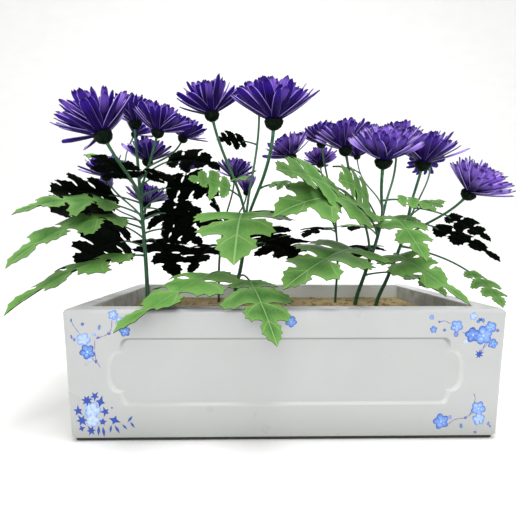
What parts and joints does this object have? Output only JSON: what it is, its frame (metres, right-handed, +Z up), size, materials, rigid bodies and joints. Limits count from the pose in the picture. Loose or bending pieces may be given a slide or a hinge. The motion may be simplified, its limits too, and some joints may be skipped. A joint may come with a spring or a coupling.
{
  "type": "potted aster",
  "caption": "Double violet asters with deeply cut leaves, planted in soil in a long glazed ceramic trough with sunk side panels.",
  "frame": {"origin": "centre of the trough's flat foot, on the ground plane", "axes": "+X along the trough to the right as seen from its front, -Y to the front, +Z up"},
  "size_m": [0.5773, 0.2943, 0.386],
  "materials": {
    "glazed_ceramic": "glossy",
    "soil": "matte",
    "greenery": "satin",
    "petals": "satin"
  },
  "bodies": {
    "root": {"trough": "glazed_ceramic", "potting_soil": "soil", "leafy_stem_left": "greenery", "leafy_stem_middle": "greenery", "leafy_stem_middle_thin": "greenery", "leafy_stem_right": "greenery", "leafy_stem_right_outer": "greenery", "leafy_stem_right_thin": "greenery", "bloom_01": "petals", "bloom_02": "petals", "bloom_03": "petals", "bloom_04": "petals", "bloom_05": "petals", "bloom_06": "petals", "bloom_07": "petals", "bloom_08": "petals", "bloom_09": "petals", "bloom_10": "petals", "bloom_11": "petals", "bloom_12": "petals", "bloom_13": "petals", "bloom_14": "petals", "bloom_15": "petals", "bloom_16": "petals", "bloom_17": "petals", "bloom_18": "petals", "bloom_19": "petals", "bloom_20": "petals", "bloom_21": "petals", "bloom_22": "petals", "bloom_23": "petals", "bloom_24": "petals", "bloom_25": "petals"}
  },
  "joints": []
}
